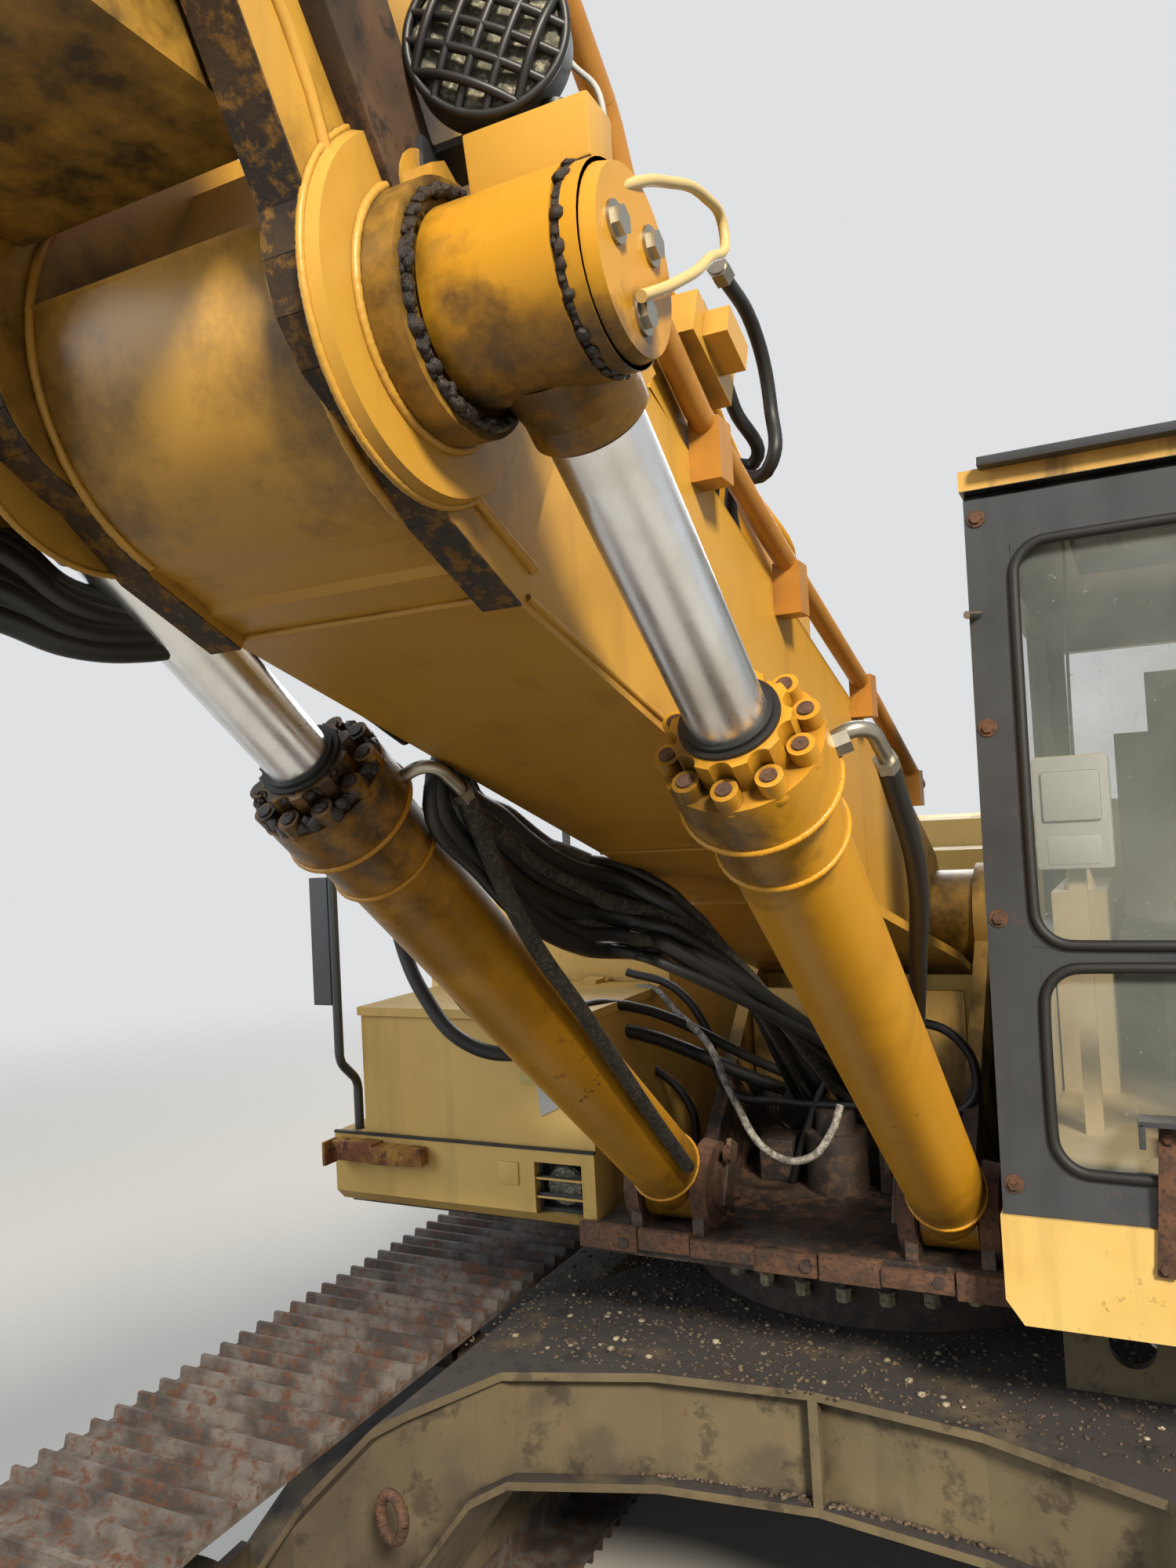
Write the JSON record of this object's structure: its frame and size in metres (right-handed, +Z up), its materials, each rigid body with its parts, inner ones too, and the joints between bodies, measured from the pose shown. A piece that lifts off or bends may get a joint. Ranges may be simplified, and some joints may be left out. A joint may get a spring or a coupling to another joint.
{
  "type": "crawler excavator",
  "caption": "Crawler excavator with a two-piece adjustable boom, stick and bucket, closed cab and counterweight on a slewing upper frame.",
  "frame": {"origin": "centre of the parked machine's bounding box, on the ground", "axes": "+Z up, -Y to the front where the boom points, +X to the machine's left, the cab's side"},
  "size_m": [3.19, 10.903, 4.4284],
  "materials": {
    "yellow_paint": "weathered semi-gloss enamel, chipped and dusty",
    "dirty_frame_paint": "dull paint under dried mud and rust",
    "rusty_track_steel": "rusty worn forged steel",
    "cast_steel": "oily dark cast steel",
    "black_paint": "satin black",
    "cab_glazing": "clear safety glass",
    "seat_cloth": "woven seat cloth",
    "beige_plastic": "moulded beige plastic",
    "chromed_rod": "hard chromed and polished"
  },
  "bodies": {
    "undercarriage": {"carbody": "dirty_frame_paint", "swing_bearing": "cast_steel", "track_frame_left": "dirty_frame_paint", "track_frame_right": "dirty_frame_paint", "track_left": "rusty_track_steel", "track_right": "rusty_track_steel", "running_gear_left": "cast_steel", "running_gear_right": "cast_steel"},
    "upper": {"main_frame": "yellow_paint", "counterweight": "yellow_paint", "engine_block": "cast_steel", "engine_housing": "yellow_paint", "storage_box": "yellow_paint", "fuel_tank": "yellow_paint", "head_lamp": "black_paint", "cab_base": "yellow_paint", "cab_shell": "black_paint", "cab_glass": "cab_glazing", "cab_seat": "seat_cloth", "cab_consoles": "beige_plastic", "travel_levers": "beige_plastic", "handrails": "black_paint", "exhaust": "cast_steel"},
    "engine_hood": {"engine_hood": "yellow_paint"},
    "side_door_left": {"side_door_left": "yellow_paint"},
    "side_door_right": {"side_door_right": "yellow_paint"},
    "storage_lid": {"storage_lid": "yellow_paint"},
    "cab_door": {"cab_door": "black_paint", "cab_door_glass": "cab_glazing"},
    "base_boom": {"base_boom": "yellow_paint", "boom_pipes": "yellow_paint", "valve_blocks": "yellow_paint", "work_lamp": "black_paint"},
    "lift_barrel_left": {"lift_barrel_left": "yellow_paint"},
    "lift_barrel_right": {"lift_barrel_right": "yellow_paint"},
    "lift_rod_left": {"lift_rod_left": "chromed_rod"},
    "lift_rod_right": {"lift_rod_right": "chromed_rod"},
    "adjust_barrel": {"adjust_barrel": "yellow_paint"},
    "adjust_rod": {"adjust_rod": "chromed_rod"},
    "fore_boom": {"fore_boom": "yellow_paint"},
    "arm_barrel": {"arm_barrel": "yellow_paint"},
    "arm_rod": {"arm_rod": "chromed_rod"},
    "stick": {"stick": "yellow_paint"},
    "curl_barrel": {"curl_barrel": "yellow_paint"},
    "curl_rod": {"curl_rod": "chromed_rod"},
    "rocker": {"rocker": "yellow_paint"},
    "bucket_link": {"bucket_link": "yellow_paint"},
    "bucket": {"bucket": "yellow_paint", "bucket_teeth": "rusty_track_steel"}
  },
  "joints": [
    {"name": "swing", "type": "hinge", "parent": "undercarriage", "child": "upper", "pos_m": [0, 2.15164, 1.19], "axis": [0, 0, 1], "continuous": true},
    {"name": "boom_lift", "type": "hinge", "parent": "upper", "child": "base_boom", "pos_m": [0, 2.17164, 2.1], "axis": [-1, 0, 0], "range_deg": [-22, 48]},
    {"name": "lift_barrel_left_pivot", "type": "hinge", "parent": "upper", "child": "lift_barrel_left", "pos_m": [0.35, 1.22164, 1.499], "axis": [-1, 0, 0], "range_deg": [-22.05, 48.05]},
    {"name": "lift_rod_left_slide", "type": "slide", "parent": "lift_barrel_left", "child": "lift_rod_left", "axis": [0, -0.7974, 0.6034], "range_m": [-0.431, 0.9393]},
    {"name": "lift_barrel_right_pivot", "type": "hinge", "parent": "upper", "child": "lift_barrel_right", "pos_m": [-0.35, 1.22164, 1.499], "axis": [-1, 0, 0], "range_deg": [-22.05, 48.05]},
    {"name": "lift_rod_right_slide", "type": "slide", "parent": "lift_barrel_right", "child": "lift_rod_right", "axis": [0, -0.7974, 0.6034], "range_m": [-0.431, 0.9393]},
    {"name": "boom_fold", "type": "hinge", "parent": "base_boom", "child": "fore_boom", "pos_m": [0, -0.90856, 3.36014], "axis": [-1, 0, 0], "range_deg": [-50, 25]},
    {"name": "adjust_barrel_pivot", "type": "hinge", "parent": "base_boom", "child": "adjust_barrel", "pos_m": [0, 1.10475, 2.92544], "axis": [-1, 0, 0], "range_deg": [-6.98, 3.52]},
    {"name": "adjust_rod_slide", "type": "slide", "parent": "adjust_barrel", "child": "adjust_rod", "axis": [0, -0.9043, 0.4269], "range_m": [-0.1706, 0.3401]},
    {"name": "stick_swing", "type": "hinge", "parent": "fore_boom", "child": "stick", "pos_m": [0, -4.00101, 3.57639], "axis": [1, 0, 0], "range_deg": [-50, 63]},
    {"name": "arm_barrel_pivot", "type": "hinge", "parent": "fore_boom", "child": "arm_barrel", "pos_m": [0, -1.27759, 3.817], "axis": [1, 0, 0], "range_deg": [-0.87, 0.7]},
    {"name": "arm_rod_slide", "type": "slide", "parent": "arm_barrel", "child": "arm_rod", "axis": [0, -0.9788, 0.2046], "range_m": [-0.6324, 0.7965]},
    {"name": "bucket_curl", "type": "hinge", "parent": "stick", "child": "bucket", "pos_m": [0, -4.93567, 0.93699], "axis": [1, 0, 0], "range_deg": [-112, 42]},
    {"name": "rocker_pivot", "type": "hinge", "parent": "stick", "child": "rocker", "pos_m": [0, -4.80372, 1.39947], "axis": [1, 0, 0], "range_deg": [-85.17, 31.97]},
    {"name": "link_pivot", "type": "hinge", "parent": "rocker", "child": "bucket_link", "pos_m": [0, -5.37164, 1.15074], "axis": [1, 0, 0], "range_deg": [-23.15, 61.65]},
    {"name": "curl_barrel_pivot", "type": "hinge", "parent": "stick", "child": "curl_barrel", "pos_m": [0, -4.45642, 3.57853], "axis": [1, 0, 0], "range_deg": [-6.77, 2.57]},
    {"name": "curl_rod_slide", "type": "slide", "parent": "curl_barrel", "child": "curl_rod", "axis": [0, -0.3527, -0.9357], "range_m": [-0.7536, 0.2832]},
    {"name": "cab_door_swing", "type": "hinge", "parent": "upper", "child": "cab_door", "pos_m": [1.502, 2.09364, 2.3], "axis": [0, 0, 1], "range_deg": [0, 160]},
    {"name": "hood_lift", "type": "hinge", "parent": "upper", "child": "engine_hood", "pos_m": [0, 3.35664, 2.305], "axis": [1, 0, 0], "range_deg": [0, 60]},
    {"name": "side_door_left_swing", "type": "hinge", "parent": "upper", "child": "side_door_left", "pos_m": [1.477, 2.94764, 1.85], "axis": [0, 0, 1], "range_deg": [-120, 0]},
    {"name": "side_door_right_swing", "type": "hinge", "parent": "upper", "child": "side_door_right", "pos_m": [-1.477, 2.94764, 1.85], "axis": [0, 0, -1], "range_deg": [-120, 0]},
    {"name": "storage_lid_lift", "type": "hinge", "parent": "upper", "child": "storage_lid", "pos_m": [0, 1.70664, 1.952], "axis": [-1, 0, 0], "range_deg": [0, 80]}
  ],
  "couplings": [
    {"joint": "lift_barrel_left_pivot", "follows": "boom_lift", "ratio": 1},
    {"joint": "lift_rod_left_slide", "follows": "boom_lift", "m_per_rad": 1.12},
    {"joint": "lift_barrel_right_pivot", "follows": "boom_lift", "ratio": 1},
    {"joint": "lift_rod_right_slide", "follows": "boom_lift", "m_per_rad": 1.12},
    {"joint": "adjust_barrel_pivot", "follows": "boom_fold", "ratio": 0.1387},
    {"joint": "adjust_rod_slide", "follows": "boom_fold", "m_per_rad": -0.3886},
    {"joint": "arm_barrel_pivot", "follows": "stick_swing", "ratio": -0.013},
    {"joint": "arm_rod_slide", "follows": "stick_swing", "m_per_rad": 0.7235},
    {"joint": "rocker_pivot", "follows": "bucket_curl", "ratio": 0.76},
    {"joint": "link_pivot", "follows": "bucket_curl", "ratio": -0.55},
    {"joint": "curl_barrel_pivot", "follows": "bucket_curl", "ratio": 0.06},
    {"joint": "curl_rod_slide", "follows": "bucket_curl", "m_per_rad": 0.385}
  ]
}
